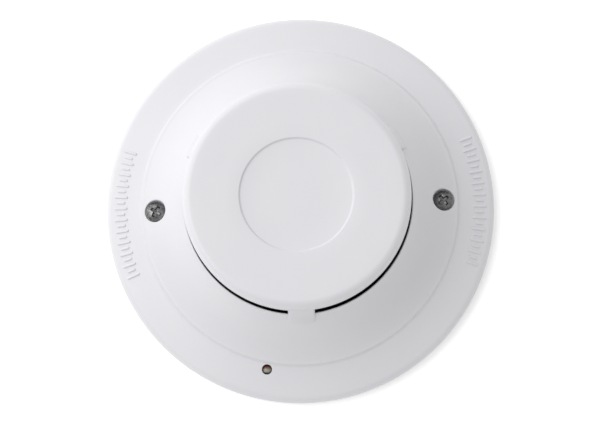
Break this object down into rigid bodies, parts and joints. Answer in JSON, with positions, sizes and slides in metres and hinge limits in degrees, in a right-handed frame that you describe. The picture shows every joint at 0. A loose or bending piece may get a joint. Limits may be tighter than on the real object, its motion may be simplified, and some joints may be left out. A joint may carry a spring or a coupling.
{
  "type": "smoke detector",
  "caption": "Round ceiling smoke detector: dished mounting flange, flared cone, cap on legs over a smoke slot, screwed cover, sensing chamber and wiring terminals inside.",
  "frame": {"origin": "centre of the mounting face, in the plane of the wall or ceiling that the steel plate lies on", "axes": "+Z out of the wall or ceiling towards the cap; -Y through the single lowest leg of the cap; the two cover screws lie on X"},
  "size_m": [0.14, 0.14, 0.04],
  "materials": {
    "cover_plastic": "fine moulded texture, satin",
    "housing_plastic": "moulded, satin",
    "plate_steel": "galvanised sheet",
    "collar_steel": "zinc plated",
    "cover_screw_steel": "dull zinc plated, aged",
    "screw_steel": "zinc plated",
    "washer_nylon": "natural nylon",
    "gasket_foam": "closed-cell foam",
    "terminal_plastic": "glass-filled, matt",
    "clamp_brass": "stamped",
    "board_laminate": "solder mask",
    "relay_case": "moulded, satin",
    "capacitor_sleeve": "shrink sleeve with bare top",
    "film_case": "epoxy dipped",
    "varistor_coating": "epoxy dipped",
    "resistor_coating": "lacquered",
    "diode_case": "moulded epoxy",
    "chip_case": "moulded epoxy",
    "reed_glass": "clear green glass",
    "lamp_lens": "tinted clear resin",
    "tinned_wire": "tinned",
    "chamber_plastic": "matt black",
    "emitter_resin": "dark tinted resin",
    "photodiode_resin": "dark filter resin",
    "tinned_can": "tin plate",
    "lens_clear": "clear moulded",
    "screen_mesh": "black coated wire"
  },
  "bodies": {
    "bracket": {"mounting_plate": "plate_steel", "threaded_collars": "collar_steel"},
    "head": {"back_housing": "housing_plastic", "foam_gasket": "gasket_foam", "terminal_block": "terminal_plastic", "terminal_screws": "screw_steel", "wire_clamps": "clamp_brass", "terminal_tags": "clamp_brass", "circuit_board": "board_laminate", "board_screws": "screw_steel", "alarm_relay": "relay_case", "electrolytic_capacitors": "capacitor_sleeve", "film_capacitors": "film_case", "surge_varistor": "varistor_coating", "resistors": "resistor_coating", "diodes": "diode_case", "transistors": "chip_case", "control_chip": "chip_case", "reed_switch": "reed_glass", "status_lamp": "lamp_lens", "lamp_leads": "tinned_wire", "chamber_base": "chamber_plastic", "infrared_emitter": "emitter_resin", "emitter_leads": "tinned_wire", "photodiode": "photodiode_resin", "photodiode_leads": "tinned_wire", "shield_can": "tinned_can", "receiver_lens": "lens_clear", "optics_cover": "chamber_plastic", "labyrinth": "chamber_plastic", "insect_screen": "screen_mesh", "chamber_lid": "chamber_plastic"},
    "cover_body": {"cover": "cover_plastic"},
    "left_washer_body": {"left_washer": "washer_nylon"},
    "left_screw_body": {"left_screw": "cover_screw_steel"},
    "right_washer_body": {"right_washer": "washer_nylon"},
    "right_screw_body": {"right_screw": "cover_screw_steel"}
  },
  "joints": [
    {"name": "head_lift", "type": "slide", "parent": "bracket", "child": "head", "axis": [0, 0, 1], "range_m": [0, 0.03]},
    {"name": "cover_lift", "type": "slide", "parent": "head", "child": "cover_body", "axis": [0, 0, 1], "range_m": [0, 0.045]},
    {"name": "left_washer_rise", "type": "slide", "parent": "cover_body", "child": "left_washer_body", "axis": [0, 0, 1], "range_m": [0, 0.0027]},
    {"name": "left_screw_turn", "type": "hinge", "parent": "left_washer_body", "child": "left_screw_body", "pos_m": [-0.0515, 0, 0.0086], "axis": [0, 0, 1], "range_deg": [0, 1620]},
    {"name": "right_washer_rise", "type": "slide", "parent": "cover_body", "child": "right_washer_body", "axis": [0, 0, 1], "range_m": [0, 0.0027]},
    {"name": "right_screw_turn", "type": "hinge", "parent": "right_washer_body", "child": "right_screw_body", "pos_m": [0.0515, 0, 0.0086], "axis": [0, 0, 1], "range_deg": [0, 1620]}
  ],
  "couplings": [
    {"joint": "left_screw_turn", "follows": "left_washer_rise", "rad_per_m": 10472},
    {"joint": "right_screw_turn", "follows": "right_washer_rise", "rad_per_m": 10472}
  ]
}
